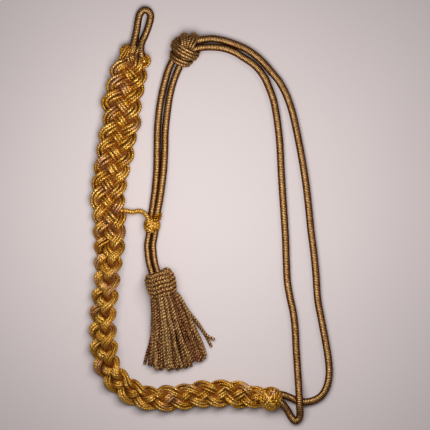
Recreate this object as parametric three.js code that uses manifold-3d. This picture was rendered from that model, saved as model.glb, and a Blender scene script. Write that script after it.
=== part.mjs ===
import * as THREE from 'three'
import { mergeVertices } from 'three/addons/utils/BufferGeometryUtils.js'
import Module from 'manifold-3d'

// A gold aiguillette that lies flat: a button loop, a plait that turns a corner and ends in a
// knot, two long cords from that knot up and over to a slide knot, and below it the same two
// cords, bound together and ending in a tassel.
// Lengths are millimetres. +Z is up from the surface it lies on, +Y runs towards the button
// loop and +X from the plait towards the long cords. The origin is on that surface, under the
// middle of the button loop's eye.

// Cords
const CORD_DIAMETER = 7
const TASSEL_CORD_DIAMETER = 5.8
const CONNECTOR_DIAMETER = 4.6
const CORD_SIDES = 8
// Between any two pieces that touch on the real object
const CLEARANCE = 0.3

// Plait
const PLAIT_WIDTH = 37
const PLAIT_THICKNESS = 15
const BUNDLES = 4
const BUNDLE_WIDTH = 9
// How deep the plait's lowest bundles are pressed flat by its own weight
const PLAIT_PRESS = 0.9
// Distance between two lobes along one edge, at the loop's end and at the knot's end
const TOP_LOBE_PITCH = 14.6
const END_LOBE_PITCH = 16.8
const FIRST_LOBE = 11.5
const FIRST_LOBE_TURN = 20
// Share of its envelope that the plait's inside always fills
const PLAIT_CORE = 0.72
const PLAIT_SIDES = 16
const PLAIT_STEPS = 98

// Tassel
const HEAD_WIDTH = 29.5
const HEAD_THICKNESS = 24.5
const HEAD_LENGTH = 23.5
const HEAD_ROWS = 6
const HEAD_ROW_DEPTH = 0.5
const TASSEL_TILT = 14
const SKIRT_LENGTH = 69
const SKIRT_ROOT_WIDTH = 25
const SKIRT_FAN_LEFT = 34.5
const SKIRT_FAN_RIGHT = 25.5
const SKIRT_ROOT_HEIGHT = 22
const SKIRT_TIP_HEIGHT = 9
const LOCK_DIAMETER = 5.4

// Knots
const SLIDE_KNOT_STRAND = 6.2
const SLIDE_KNOT_LENGTH = 30
const SLIDE_KNOT_HEIGHT = 16
const SLIDE_KNOT_SLANT = -24
const END_KNOT_LENGTH = 20
const END_KNOT_WIDTH = 22
const END_KNOT_HEIGHT = 18
const END_KNOT_STRAND = 4.8
const END_KNOT_CROSSING = 60
const BINDING_WIDTH = 14.5
const BINDING_LENGTH = 13.5
const BINDING_HEIGHT = 12.8
const BINDING_STRAND = 4.4

// Where the middles of the knots, the plait's first lobe and the tassel's root lie
const SLIDE_KNOT_PLACE = [40, -23]
const BINDING_PLACE = [9.4, -187.2]
const FIRST_LOBE_PLACE = [-14.9, -24.4]
const TASSEL_PLACE = [19.8, -253]

const UP = new THREE.Vector3(0, 0, 1)
const SQUARE = 90

// Routes, chosen by hand: [x, y, z of the centreline]
const PLAIT_ROUTE = [
  [-9.3, -20.5, 0], [-10.7, -26, 0], [-11.2, -33.5, 0], [-12.7, -44.6, 0], [-17.2, -67, 0],
  [-20.5, -89.3, 0], [-23.9, -111.6, 0], [-28.4, -132.1, 0], [-30.9, -148.8, 0],
  [-31.8, -163.7, 0], [-30.7, -174.8, 0], [-29.8, -191.6, 0], [-30.4, -208.3, 0],
  [-32.6, -226.9, 0], [-34.8, -249.2, 0], [-36.8, -271.6, 0], [-37, -286.4, 0],
  [-36, -305, 0], [-32.6, -317.1, 0], [-26, -328.3, 0], [-15.8, -338.5, 0],
  [-2.8, -344.6, 0], [11.2, -347.8, 0], [26, -347.4, 0], [40, -346, 0], [55.8, -344.1, 0],
  [71.6, -343, 0], [90.2, -344.4, 0], [110.7, -346.9, 0],
]
const BUTTON_LOOP_ROUTE = [
  [-10.7, -27.9, 7], [-9.8, -23.3, 6.4], [-8.2, -17.1, 5], [-6.9, -11.2, 3.8],
  [-5.7, -5.6, 3.5], [-4.5, 1.9, 3.5], [-3.2, 7.9, 3.5], [-0.9, 11.6, 3.5], [1.9, 12.7, 3.5],
  [5.1, 11.6, 3.5], [7.1, 7.9, 3.5], [6.8, 3.7, 3.5], [5.4, -1.4, 3.5], [3.9, -6, 3.5],
  [1.4, -12.1, 3.8], [-0.9, -17.2, 5], [-1.9, -22.3, 6.8], [-1.6, -27, 8.4], [-0.5, -31.6, 8.8],
]
const CORD_INNER_ROUTE = [
  [46.5, -24.2, 8], [49.9, -23.3, 7.8], [55.8, -22.1, 6.8], [63.9, -21.7, 4.9],
  [74.4, -22.7, 3.5], [85.2, -26.4, 3.5], [93, -31.2, 3.5], [101.4, -36.7, 3.5],
  [107.4, -42.3, 3.5], [113, -50.2, 3.5], [117.2, -59.5, 3.5], [120.9, -69.8, 3.5],
  [123.2, -80, 3.5], [125.6, -96.7, 3.5], [127.2, -112.5, 3.5], [128.3, -133.9, 3.5],
  [129.5, -154.4, 3.5], [131.1, -177.6, 3.5], [132.5, -200.9, 3.5], [133.2, -221.3, 3.5],
  [134.2, -239.9, 3.5], [136.7, -254.8, 3.5], [139.5, -267.8, 3.5], [141.3, -282.7, 3.5],
  [142.3, -301.3, 3.5], [143.4, -318.1, 3.5], [144.2, -331, 5], [144.7, -340, 8.8],
  [145.1, -349, 11], [145.5, -357, 9.4], [145.8, -362.8, 5.4], [144.5, -367.2, 3.7],
  [141.2, -368.6, 3.5], [138, -365.6, 3.6], [135.2, -360.6, 4.8], [132, -355.6, 7],
  [128.6, -352.2, 8.8], [124.6, -350.4, 9.4],
]
const CORD_OUTER_ROUTE = [
  [46.5, -16.7, 8], [53.2, -15.3, 7.3], [63.9, -14.1, 4.9], [74.4, -15.6, 3.5],
  [85.2, -19, 3.5], [95.8, -23.7, 3.5], [105.6, -30.4, 3.5], [113, -37.4, 3.5],
  [119.5, -45.1, 3.5], [126, -53, 3.5], [131.4, -62.3, 3.5], [135.3, -71.6, 3.5],
  [138.6, -81.8, 3.5], [142.3, -97.7, 3.5], [145.5, -113.5, 3.5], [148.8, -132.1, 3.5],
  [151.6, -150.7, 3.5], [153.9, -171.1, 3.5], [156, -191.6, 3.5], [158.6, -212, 3.5],
  [160.7, -233.4, 3.5], [162.3, -255.8, 3.5], [166, -276.2, 3.5], [169.7, -295.7, 3.5],
  [172.3, -312.5, 3.5], [173, -323.6, 3.5], [172.1, -332, 3.5], [169.7, -339.5, 3.5],
  [165.1, -346, 3.5], [158.1, -349.9, 3.5], [150.7, -351.2, 3.5], [143.2, -350, 3.5],
  [136.7, -347.2, 3.6], [131.1, -344.9, 5], [125.4, -343.8, 6],
]
const DROP_LEFT_ROUTE = [
  [31.6, -29.8, 6.5], [28.4, -33.5, 5.8], [25.4, -39, 4.5], [22.5, -46.5, 3.6],
  [20.5, -53.9, 3.5], [18.4, -62.3, 3.5], [16.7, -70.7, 3.5], [14.7, -84.6, 3.5],
  [13.6, -98.6, 3.5], [13.2, -117.2, 3.5], [12.8, -135.8, 3.5], [11.3, -154.4, 3.5],
  [9.9, -165.5, 3.5], [8.5, -174.8, 3.5], [7.7, -181.6, 3.8],
]
const DROP_RIGHT_ROUTE = [
  [38.6, -33, 6.5], [35.2, -37.2, 5.8], [32.6, -42.8, 4.5], [29.9, -49.3, 3.6],
  [27.4, -56.7, 3.5], [25.7, -63.2, 3.5], [24.2, -70.7, 3.5], [22.3, -84.6, 3.5],
  [20.8, -98.6, 3.8], [20.3, -117.2, 4.7], [19.3, -135.8, 6.6], [17.3, -152.5, 8],
  [15.7, -163.7, 8.5], [13.9, -173, 9.1], [12.5, -181.6, 9.5],
]
const TASSEL_LEFT_ROUTE = [
  [6.5, -189.9, 6.4], [5.4, -196.2, 5.2], [3.9, -205.5, 4.4], [4.5, -214.8, 4.8],
  [5.9, -223.2, 6.6], [7.9, -229.7, 9.4], [9.8, -235.3, 11.6],
]
const TASSEL_RIGHT_ROUTE = [
  [12.3, -189.9, 6.4], [11.2, -196.2, 5.2], [9.7, -205.5, 4.4], [10.3, -214.8, 4.8],
  [11.7, -223.2, 6.6], [13.7, -229.7, 9.4], [15.7, -235.3, 11.6],
]
const CONNECTOR_ROUTE = [
  [-22.3, -173.9, 7.5], [-16.1, -173.7, 7], [-9.6, -174.8, 5.4], [-3.7, -173.9, 4.6],
  [1, -175.6, 6], [4.3, -179.6, 8.9], [6.2, -185, 9.6],
]

// The plait's outline, with roll as the angle by which the plait lies rolled on its edge
const PLAIT_SECTIONS = [
  { along: 0, width: 0.3, thickness: 0.7, roll: 0 },
  { along: 0.014, width: 0.6, thickness: 0.9, roll: 0 },
  { along: 0.035, width: 0.9, thickness: 1, roll: 0 },
  { along: 0.055, width: 1.02, thickness: 1, roll: 0 },
  { along: 0.15, width: 1, thickness: 1, roll: 0 },
  { along: 0.25, width: 0.955, thickness: 1, roll: 0 },
  { along: 0.33, width: 0.9, thickness: 1, roll: 8 },
  { along: 0.39, width: 0.86, thickness: 1.06, roll: 22 },
  { along: 0.44, width: 0.82, thickness: 1.13, roll: 38 },
  { along: 0.48, width: 0.81, thickness: 1.2, roll: 48 },
  { along: 0.55, width: 0.79, thickness: 1.22, roll: 50 },
  { along: 0.62, width: 0.83, thickness: 1.2, roll: 46 },
  { along: 0.68, width: 0.72, thickness: 1.12, roll: 34 },
  { along: 0.73, width: 0.67, thickness: 1.08, roll: 20 },
  { along: 0.78, width: 0.6, thickness: 1.05, roll: 8 },
  { along: 0.845, width: 0.66, thickness: 1.02, roll: 0 },
  { along: 0.88, width: 0.745, thickness: 1.02, roll: 0 },
  { along: 0.95, width: 0.7, thickness: 1, roll: 0 },
  { along: 1, width: 0.5, thickness: 1, roll: 0 },
]

// The slide knot's two loops, seen from above and from its middle, as shares of its length and
// height: each comes up out of the turns, goes over and down again
const KNOT_LOOPS = [
  [[-0.23, 0.1, 0.35], [-0.21, 0.31, 0.42], [-0.11, 0.43, 0.5], [0.01, 0.4, 0.62], [0.03, 0.27, 0.76],
    [-0.02, 0.05, 0.8]],
  [[0.34, 0.08, 0.35], [0.38, 0.27, 0.42], [0.32, 0.41, 0.5], [0.21, 0.42, 0.62], [0.15, 0.28, 0.76],
    [0.12, 0.05, 0.8]],
]

// The skirt's locks, left to right: how far each reaches, as a share of the skirt's length
const LOCK_REACH = [0.84, 0.855, 0.92, 0.945, 0.965, 0.98, 1, 0.99, 0.995, 0.97, 0.965, 0.94, 0.93]
// Single strands that stray past the right edge of the fan
const STRAYS = [
  { fan: 1.19, reach: 0.84 },
  { fan: 1.36, reach: 0.72 },
]

// A smooth curve through a route's points.
function curveThrough(points) {
  const spots = points.map(([x, y, z]) => new THREE.Vector3(x, y, z))
  return new THREE.CatmullRomCurve3(spots, false, 'centripetal')
}

// The value of one column at a share of the length, eased from row to row.
function columnAt(rows, column, along) {
  let next = rows.findIndex((row) => row.along >= along)
  next = next < 1 ? Math.max(next, 1) : next
  const [before, after] = [rows[next - 1], rows[next]]
  const share = (along - before.along) / (after.along - before.along)
  const eased = THREE.MathUtils.smoothstep(share, 0, 1)
  return THREE.MathUtils.lerp(before[column], after[column], eased)
}

// Directions at a place on a route: ahead along it, across to its side, and out from both.
function frameAt(curve, along) {
  const ahead = curve.getTangentAt(along)
  const across = new THREE.Vector3().crossVectors(UP, ahead).normalize()
  const out = new THREE.Vector3().crossVectors(ahead, across)
  return { spot: curve.getPointAt(along), across, out }
}

// A closed body of rings set one after another. place(along, angle, rim) gives each point:
// along runs from 0 to 1, angle goes round the ring, and rim is 0 in the middle of an end.
function ringBody(sides, steps, place) {
  const body = new THREE.CylinderGeometry(1, 1, 1, sides, steps)
  const spots = body.attributes.position
  for (let i = 0; i < spots.count; i += 1) {
    const angle = Math.atan2(spots.getX(i), spots.getZ(i))
    const rim = Math.round(Math.hypot(spots.getX(i), spots.getZ(i)))
    const spot = place(spots.getY(i) + 0.5, angle, rim)
    spots.setXYZ(i, spot.x, spot.y, spot.z)
  }
  return body
}

// A round tube along a route.
function tube(points, diameter, steps) {
  const section = new THREE.Shape()
  for (let side = 0; side < CORD_SIDES; side += 1) {
    const angle = ((side + 0.5) / CORD_SIDES) * 2 * Math.PI
    const corner = [(diameter / 2) * Math.cos(angle), (diameter / 2) * Math.sin(angle)]
    if (side === 0) section.moveTo(...corner)
    else section.lineTo(...corner)
  }
  section.closePath()
  return new THREE.ExtrudeGeometry(section, { steps, extrudePath: curveThrough(points) })
}

// A strand whose thickness changes from one end of its route to the other.
function taperedStrand(points, startDiameter, endDiameter, sides, steps) {
  const curve = curveThrough(points)
  return ringBody(sides, steps, (along, angle, rim) => {
    const { spot, across, out } = frameAt(curve, along)
    const radius = (rim * THREE.MathUtils.lerp(startDiameter, endDiameter, along)) / 2
    spot.addScaledVector(across, radius * Math.cos(angle))
    return spot.addScaledVector(out, radius * Math.sin(angle))
  })
}

// An oval ring of strand that stands upright: its long way is level, at an angle to +X.
function wrap(centre, width, height, strand, turn, sides, steps) {
  const ring = new THREE.TorusGeometry(1, 0.5, sides, steps)
  const spots = ring.attributes.position
  const halfWide = (width - strand) / 2
  const halfHigh = (height - strand) / 2
  for (let i = 0; i < spots.count; i += 1) {
    const [x, y] = [spots.getX(i), spots.getY(i)]
    const angle = Math.atan2(y, x)
    const outward = (Math.hypot(x, y) - 1) * strand
    const normal = new THREE.Vector2(Math.cos(angle) / halfWide, Math.sin(angle) / halfHigh).normalize()
    const level = halfWide * Math.cos(angle) + outward * normal.x
    const raised = halfHigh * Math.sin(angle) + outward * normal.y
    spots.setXYZ(i, level, -spots.getZ(i) * strand, raised)
  }
  ring.rotateZ(THREE.MathUtils.degToRad(turn))
  return ring.translate(...centre)
}

// A rounded lump with its own width, length and height.
function lump(centre, width, length, height, turn = 0) {
  const ball = new THREE.SphereGeometry(0.5, 10, 6)
  ball.rotateX(Math.PI / 2)
  ball.scale(width, length, height)
  ball.rotateZ(THREE.MathUtils.degToRad(turn))
  return ball.translate(...centre)
}

const wasm = await Module()
wasm.setup()

function toSolid(geometry) {
  const bare = geometry.clone()
  bare.deleteAttribute('normal')
  bare.deleteAttribute('uv')
  const merged = mergeVertices(bare, 1e-4)
  const mesh = new wasm.Mesh({
    numProp: 3,
    vertProperties: new Float32Array(merged.attributes.position.array),
    triVerts: new Uint32Array(merged.index.array),
  })
  return new wasm.Manifold(mesh)
}

function toGeometry(solid) {
  const mesh = solid.getMesh()
  const geometry = new THREE.BufferGeometry()
  geometry.setAttribute('position', new THREE.BufferAttribute(mesh.vertProperties, 3))
  geometry.setIndex(new THREE.BufferAttribute(mesh.triVerts, 1))
  geometry.computeVertexNormals()
  return geometry
}

// Joins some shapes into one body and cuts others out of it.
function fused(shapes, cuts = []) {
  const joined = shapes.map(toSolid).reduce((whole, next) => whole.add(next))
  return toGeometry(cuts.map(toSolid).reduce((whole, next) => whole.subtract(next), joined))
}

// The room that a cord takes up in what it goes into: the cord with its clearance all round.
function room(points, diameter, steps) {
  const curve = curveThrough(points)
  const start = curve.getPointAt(0).addScaledVector(curve.getTangentAt(0), -CLEARANCE)
  const end = curve.getPointAt(1).addScaledVector(curve.getTangentAt(1), CLEARANCE)
  const longer = [start.toArray(), ...points, end.toArray()]
  return tube(longer, diameter + 2 * CLEARANCE, steps)
}

// How a bundle of the plait rises and dips while it swings once across and back: on top at the
// middle on its way right, below at the left edge's turn in and on top at its turn out.
function bundleRise(phase) {
  return -0.207 * Math.cos(phase) + 1.007 * Math.cos(3 * phase) + 0.2 * Math.cos(5 * phase)
}

// How far a bundle has swung across, from -1 at one edge to 1 at the other.
function bundleSwing(phase) {
  return (Math.sin(phase) - 0.06 * Math.sin(3 * phase)) / 1.06
}

// The plait: rings round its route, each the outline of the four bundles where it cuts them.
function makePlait() {
  const route = curveThrough(PLAIT_ROUTE)
  const length = route.getLength()
  const growth = END_LOBE_PITCH / TOP_LOBE_PITCH - 1
  const bundlesAt = (along, width, thickness) => {
    const lobes = (length / TOP_LOBE_PITCH / growth) * Math.log(1 + growth * along)
    const pitch = TOP_LOBE_PITCH * (1 + growth * along)
    const bundleWidth = BUNDLE_WIDTH * (width / PLAIT_WIDTH)
    const reach = (width - bundleWidth) / 2
    return Array.from({ length: BUNDLES }, (_, bundle) => {
      const phase = (Math.PI / 2) * (lobes - FIRST_LOBE / TOP_LOBE_PITCH + bundle)
      const slope = ((reach * Math.PI) / 2 / pitch) * Math.cos(phase)
      return {
        across: reach * bundleSwing(phase),
        up: (thickness / 4) * bundleRise(phase),
        halfWide: (bundleWidth / 2) * Math.hypot(1, slope),
        halfHigh: thickness / 4,
      }
    })
  }
  // Where a ray from the middle leaves the outermost bundle, as a share of the envelope
  const outlineShare = (bundles, ray) => bundles.reduce((share, bundle) => {
    const [wide, high] = [bundle.halfWide ** 2, bundle.halfHigh ** 2]
    const a = ray.x ** 2 / wide + ray.y ** 2 / high
    const b = (ray.x * bundle.across) / wide + (ray.y * bundle.up) / high
    const c = bundle.across ** 2 / wide + bundle.up ** 2 / high - 1
    const inside = b * b - a * c
    return inside < 0 ? share : Math.max(share, (b + Math.sqrt(inside)) / a)
  }, PLAIT_CORE)
  return ringBody(PLAIT_SIDES, PLAIT_STEPS, (along, angle, rim) => {
    const width = PLAIT_WIDTH * columnAt(PLAIT_SECTIONS, 'width', along)
    const thickness = PLAIT_THICKNESS * columnAt(PLAIT_SECTIONS, 'thickness', along)
    const roll = THREE.MathUtils.degToRad(columnAt(PLAIT_SECTIONS, 'roll', along))
    const ray = new THREE.Vector2((width / 2) * Math.cos(angle), (thickness / 2) * Math.sin(angle))
    ray.multiplyScalar(rim * outlineShare(bundlesAt(along, width, thickness), ray))
    const halfHeight = Math.hypot((width / 2) * Math.sin(roll), (thickness / 2) * Math.cos(roll))
    const { spot, across } = frameAt(route, along)
    spot.addScaledVector(across, ray.x * Math.cos(roll) - ray.y * Math.sin(roll))
    spot.z = halfHeight - PLAIT_PRESS + ray.x * Math.sin(roll) + ray.y * Math.cos(roll)
    spot.z = Math.max(spot.z, 0)
    return spot
  })
}

// The plait's first lobe, beside the button loop, where a bundle turns back over the end.
function makeFirstLobe() {
  const centre = [...FIRST_LOBE_PLACE, 0.4 * PLAIT_THICKNESS]
  return lump(centre, 1.3 * BUNDLE_WIDTH, 1.4 * BUNDLE_WIDTH, 0.66 * PLAIT_THICKNESS,
    FIRST_LOBE_TURN)
}

// The end knot: a core crossed by slanting turns, cut square where the plait meets it.
function makeEndKnot(cuts) {
  const route = curveThrough(PLAIT_ROUTE)
  const end = route.getPointAt(1)
  const ahead = route.getTangentAt(1)
  const middle = end.clone().addScaledVector(ahead, 0.36 * END_KNOT_LENGTH)
  const centre = [middle.x, middle.y, END_KNOT_HEIGHT / 2]
  const turn = THREE.MathUtils.radToDeg(Math.atan2(ahead.y, ahead.x))
  const wraps = [-0.26, 0.02, 0.3].map((share) => {
    const spot = middle.clone().addScaledVector(ahead, share * END_KNOT_LENGTH)
    return wrap([spot.x, spot.y, END_KNOT_HEIGHT / 2], END_KNOT_WIDTH * (1 - 0.5 * Math.abs(share)),
      END_KNOT_HEIGHT * (1 - 0.25 * Math.abs(share)), END_KNOT_STRAND, turn + SQUARE, 5, 12)
  })
  const crossing = wrap(centre, END_KNOT_WIDTH, END_KNOT_HEIGHT, END_KNOT_STRAND,
    turn + END_KNOT_CROSSING, 5, 12)
  const core = lump(centre, END_KNOT_LENGTH, 0.9 * END_KNOT_WIDTH, 0.9 * END_KNOT_HEIGHT, turn)
  const plaitEnd = new THREE.BoxGeometry(2 * END_KNOT_LENGTH, 2 * PLAIT_WIDTH, 4 * END_KNOT_HEIGHT)
  plaitEnd.translate(CLEARANCE - END_KNOT_LENGTH, 0, 0)
  plaitEnd.rotateZ(THREE.MathUtils.degToRad(turn))
  plaitEnd.translate(end.x, end.y, 0)
  return fused([core, crossing, ...wraps], [plaitEnd, ...cuts])
}

// The slide knot: slanting turns round the cords, and two loops that come up through them.
function makeSlideKnot(cuts) {
  const [x, y] = SLIDE_KNOT_PLACE
  const slant = SLIDE_KNOT_SLANT
  const mid = SLIDE_KNOT_HEIGHT / 2
  const size = SLIDE_KNOT_LENGTH
  const strand = SLIDE_KNOT_STRAND
  const core = lump([x - 0.03 * size, y - 0.02 * size, mid], 0.84 * size, 0.84 * size,
    0.86 * SLIDE_KNOT_HEIGHT, slant)
  const turns = [
    wrap([x, y - 0.01 * size, mid], 0.98 * size, SLIDE_KNOT_HEIGHT, strand, slant, 6, 12),
    wrap([x - 0.08 * size, y - 0.17 * size, mid], 0.9 * size, 0.95 * SLIDE_KNOT_HEIGHT, strand, slant, 6, 12),
    wrap([x - 0.15 * size, y - 0.33 * size, mid], 0.76 * size, 0.88 * SLIDE_KNOT_HEIGHT, strand, slant, 6, 12),
  ]
  const loops = KNOT_LOOPS.map((loop) => taperedStrand(loop.map(([across, ahead, up]) => [
    x + across * size, y + ahead * size, up * SLIDE_KNOT_HEIGHT,
  ]), strand, strand, 6, 8))
  return fused([core, ...turns, ...loops], cuts)
}

// The binding knot: three close turns round the pair of cords and a lump where they are tied.
function makeBindingKnot(cuts) {
  const [x, y] = BINDING_PLACE
  const mid = BINDING_HEIGHT / 2
  const spacing = (BINDING_LENGTH - BINDING_STRAND) / 2
  const turns = [-1, 0, 1].map((step) => wrap([x - 0.6 * step, y - spacing * step, mid],
    BINDING_WIDTH, BINDING_HEIGHT, BINDING_STRAND, -8 - 4 * step, 5, 12))
  const core = lump([x, y, mid], 0.8 * BINDING_WIDTH, 0.95 * BINDING_LENGTH, 0.8 * BINDING_HEIGHT)
  const tie = lump([x - 0.44 * BINDING_WIDTH, y, 0.4 * BINDING_HEIGHT], 0.42 * BINDING_WIDTH,
    0.75 * BINDING_LENGTH, 0.62 * BINDING_HEIGHT)
  return fused([core, tie, ...turns], cuts)
}

// The tassel's own frame: its root lies where the head meets the skirt, and it points down it.
const tassel = new THREE.Matrix4()
  .makeRotationZ(THREE.MathUtils.degToRad(TASSEL_TILT))
  .setPosition(...TASSEL_PLACE, 0)

// The tassel's head: a barrel of wound rows, a little flattened, with the knot of its winding.
function makeTasselHead(cuts) {
  const outline = [[0.62, 0], [0.84, 0.06], [0.96, 0.22], [1, 0.42], [0.99, 0.62], [0.95, 0.8], [0.87, 1]]
  const barrel = new THREE.CatmullRomCurve3(outline.map(([r, down]) => new THREE.Vector3(r, down, 0)))
  const samples = 3 * HEAD_ROWS
  const profile = [new THREE.Vector2(0, 0)]
  for (let i = 0; i <= samples; i += 1) {
    const spot = barrel.getPoint(i / samples)
    const row = HEAD_ROW_DEPTH * Math.cos((2 * Math.PI * i * HEAD_ROWS) / samples)
    profile.push(new THREE.Vector2((spot.x * HEAD_WIDTH) / 2 - HEAD_ROW_DEPTH - row, -spot.y * HEAD_LENGTH))
  }
  profile.push(new THREE.Vector2(0, -HEAD_LENGTH))
  const head = new THREE.LatheGeometry(profile.reverse(), 14)
  head.scale(1, 1, HEAD_THICKNESS / HEAD_WIDTH)
  head.translate(0, HEAD_LENGTH + CLEARANCE, HEAD_THICKNESS / 2)
  const tuck = lump([0.24 * HEAD_WIDTH, 0.92 * HEAD_LENGTH, 0.62 * HEAD_THICKNESS], 0.37 * HEAD_WIDTH,
    0.34 * HEAD_LENGTH, 0.41 * HEAD_THICKNESS)
  return fused([head.applyMatrix4(tassel), tuck.applyMatrix4(tassel)], cuts)
}

// Where a lock of the skirt lies, sideways and up: fan runs from -1 at the left edge to 1 at
// the right, and down from 0 at the root to 1 at the tips.
function skirtSpot(fan, down) {
  const side = (fan + 1) / 2
  const root = (fan * SKIRT_ROOT_WIDTH) / 2
  const tip = THREE.MathUtils.lerp(-SKIRT_FAN_LEFT, SKIRT_FAN_RIGHT, side)
  const bend = THREE.MathUtils.lerp(1.45, 0.65, side)
  const x = THREE.MathUtils.lerp(root, tip, down ** bend)
  const height = THREE.MathUtils.lerp(SKIRT_ROOT_HEIGHT, SKIRT_TIP_HEIGHT, down ** 0.75)
  return { x, height }
}

// The tassel's skirt: locks of strands fanned out over a backing that fills it to the surface.
function makeTasselSkirt() {
  const backing = ringBody(12, 4, (along, angle, rim) => {
    const down = 0.88 * along
    const { x, height } = skirtSpot(0.92 * rim * Math.cos(angle), down)
    return new THREE.Vector3(x, -down * SKIRT_LENGTH, (height / 2) * (1 + 0.9 * rim * Math.sin(angle)))
  })
  const lockRoute = (fan, reach) => [0, 0.2, 0.45, 0.75, 1].map((share) => {
    const { x, height } = skirtSpot(fan, share * reach)
    const crown = Math.sqrt(Math.max(0, 1 - fan * fan))
    const z = Math.max((height / 2) * (1 + crown) - LOCK_DIAMETER / 2, LOCK_DIAMETER / 2)
    return [x, -share * reach * SKIRT_LENGTH, z]
  })
  const locks = LOCK_REACH.map((reach, index) => {
    const fan = (2 * index) / (LOCK_REACH.length - 1) - 1
    return taperedStrand(lockRoute(0.97 * fan, reach), 0.7 * LOCK_DIAMETER, LOCK_DIAMETER, 5, 3)
  })
  const strays = STRAYS.map(({ fan, reach }) => {
    const route = lockRoute(0.97, 0.6 * reach).slice(0, 4)
    const { x } = skirtSpot(fan, reach)
    const tip = [x, -reach * SKIRT_LENGTH, LOCK_DIAMETER / 2]
    return taperedStrand([...route, tip], 0.75 * LOCK_DIAMETER, 0.6 * LOCK_DIAMETER, 5, 5)
  })
  const headSide = new THREE.BoxGeometry(3 * SKIRT_ROOT_WIDTH, HEAD_LENGTH, 4 * SKIRT_ROOT_HEIGHT)
  headSide.translate(0, HEAD_LENGTH / 2, 0)
  return fused([backing, ...locks, ...strays], [headSide]).applyMatrix4(tassel)
}

const brightGold = { color: 0xc08a2a, roughness: 0.42, metalness: 0.75 }
const antiqueGold = { color: 0x96692c, roughness: 0.48, metalness: 0.6 }
const brownGold = { color: 0x7d5a2d, roughness: 0.6, metalness: 0.35 }

const aiguillette = new THREE.Group()

function addPiece(name, geometry, finish) {
  const piece = new THREE.Mesh(geometry, new THREE.MeshStandardMaterial(finish))
  piece.name = name
  aiguillette.add(piece)
}

const cords = {
  button_loop: { route: BUTTON_LOOP_ROUTE, diameter: CORD_DIAMETER, steps: 20 },
  cord_inner: { route: CORD_INNER_ROUTE, diameter: CORD_DIAMETER, steps: 62 },
  cord_outer: { route: CORD_OUTER_ROUTE, diameter: CORD_DIAMETER, steps: 31 },
  drop_cord_left: { route: DROP_LEFT_ROUTE, diameter: CORD_DIAMETER, steps: 10 },
  drop_cord_right: { route: DROP_RIGHT_ROUTE, diameter: CORD_DIAMETER, steps: 10 },
  tassel_cord_left: { route: TASSEL_LEFT_ROUTE, diameter: TASSEL_CORD_DIAMETER, steps: 5 },
  tassel_cord_right: { route: TASSEL_RIGHT_ROUTE, diameter: TASSEL_CORD_DIAMETER, steps: 5 },
  connector_cord: { route: CONNECTOR_ROUTE, diameter: CONNECTOR_DIAMETER, steps: 6 },
}
const roomFor = (...names) => names.map((name) => {
  const { route, diameter, steps } = cords[name]
  return room(route, diameter, steps)
})

for (const [name, { route, diameter, steps }] of Object.entries(cords)) {
  addPiece(name, tube(route, diameter, steps), antiqueGold)
}
addPiece('plait', fused([makePlait(), makeFirstLobe()], roomFor('button_loop', 'connector_cord')), brightGold)
addPiece('end_knot', makeEndKnot(roomFor('cord_inner', 'cord_outer')), brightGold)
addPiece('slide_knot', makeSlideKnot(roomFor('cord_inner', 'cord_outer', 'drop_cord_left', 'drop_cord_right')),
  antiqueGold)
addPiece('binding_knot', makeBindingKnot(roomFor('drop_cord_left', 'drop_cord_right', 'tassel_cord_left',
  'tassel_cord_right', 'connector_cord')), brightGold)
addPiece('tassel_head', makeTasselHead(roomFor('tassel_cord_left', 'tassel_cord_right')), brownGold)
addPiece('tassel_skirt', makeTasselSkirt(), brownGold)

export default aiguillette
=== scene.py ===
"""A gold aiguillette, lying flat and seen from straight above.

A button loop tops a plait of cord bundles, which turns a corner and ends in a knot. Two plain
wire-wound cords run from that knot up and over to a slide knot and drop from it as a pair,
bound together, to a tassel. Lengths are metres, +Z is up from the surface that it lies on.
"""

import math

import bpy
import numpy as np
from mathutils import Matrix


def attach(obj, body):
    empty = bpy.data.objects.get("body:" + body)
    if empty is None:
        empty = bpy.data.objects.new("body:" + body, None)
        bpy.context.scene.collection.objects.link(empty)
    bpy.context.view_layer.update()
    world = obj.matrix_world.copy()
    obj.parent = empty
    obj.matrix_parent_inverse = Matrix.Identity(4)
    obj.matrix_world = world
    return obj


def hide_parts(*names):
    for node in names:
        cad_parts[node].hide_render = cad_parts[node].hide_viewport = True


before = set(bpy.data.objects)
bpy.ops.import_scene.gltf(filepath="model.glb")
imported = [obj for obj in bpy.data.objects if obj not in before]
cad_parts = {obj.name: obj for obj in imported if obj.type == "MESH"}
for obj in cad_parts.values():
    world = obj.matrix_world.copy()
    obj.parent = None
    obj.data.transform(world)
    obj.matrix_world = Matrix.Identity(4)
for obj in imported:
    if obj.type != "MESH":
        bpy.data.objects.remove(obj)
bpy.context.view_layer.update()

MM = 0.001
UP = np.array([0.0, 0.0, 1.0])
RANDOM = np.random.default_rng(7)

# The photograph: how many of its pixels the frame is wide, the size of one on the surface,
# and the pixel that the origin lies at
PHOTO_WIDTH = 430
PIXEL = 0.93 * MM
ORIGIN_PIXEL = (143, 24)
CAMERA_HEIGHT = 3.0

CORD_DIAMETER = 7 * MM
TASSEL_CORD_DIAMETER = 5.8 * MM
CONNECTOR_DIAMETER = 4.6 * MM
# One turn of the wire round a plain cord, and how much its rib swells it, as a share of its radius
WIRE_PITCH = 1.5 * MM
RIB = 0.045
# One ply and one thread of the bright cord, along it
PLY_PITCH = 2.3 * MM
THREAD_PITCH = 0.8 * MM
# One ply of a twisted strand, along it, and how much it swells the strand
STRAND_PLY = 2.9 * MM
STRAND_SWELL = 0.16
# Spots in each span of a route and round a closed turn of a knot's cord, and sides of the cords
SPAN_SPOTS = 24
TURN_SPOTS = 72
PLAIN_CORD_SIDES = 14
KNOT_CORD_SIDES = 10

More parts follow.
